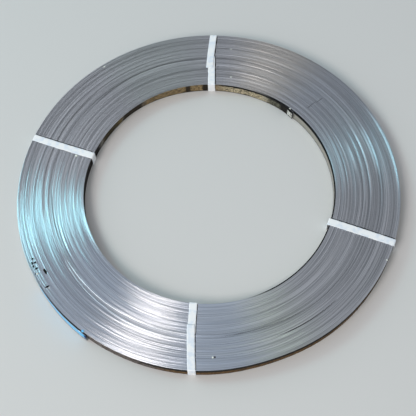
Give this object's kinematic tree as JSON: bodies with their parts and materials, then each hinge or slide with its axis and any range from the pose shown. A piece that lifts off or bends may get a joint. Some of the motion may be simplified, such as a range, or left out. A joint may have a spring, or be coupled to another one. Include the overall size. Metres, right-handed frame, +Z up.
{
  "type": "roll of steel strapping",
  "caption": "Flat ring-shaped roll of ribbon-wound steel strap with an open core, held by white tape ties, for tensioning round packed goods.",
  "frame": {"origin": "on the roll's axis, on the plane that the ties rest on", "axes": "+Z up along the roll's axis; -Y towards the viewer of the reference view"},
  "size_m": [0.616, 0.6163, 0.0216],
  "materials": {
    "strap_steel": "bright cold-rolled steel, slit edges, thin film of oil",
    "tie_tape": "white plastic tape, matt"
  },
  "bodies": {
    "root": {"strap_coil": "strap_steel", "tie_back": "tie_tape", "tie_left": "tie_tape", "tie_front": "tie_tape", "tie_right": "tie_tape"}
  },
  "joints": []
}
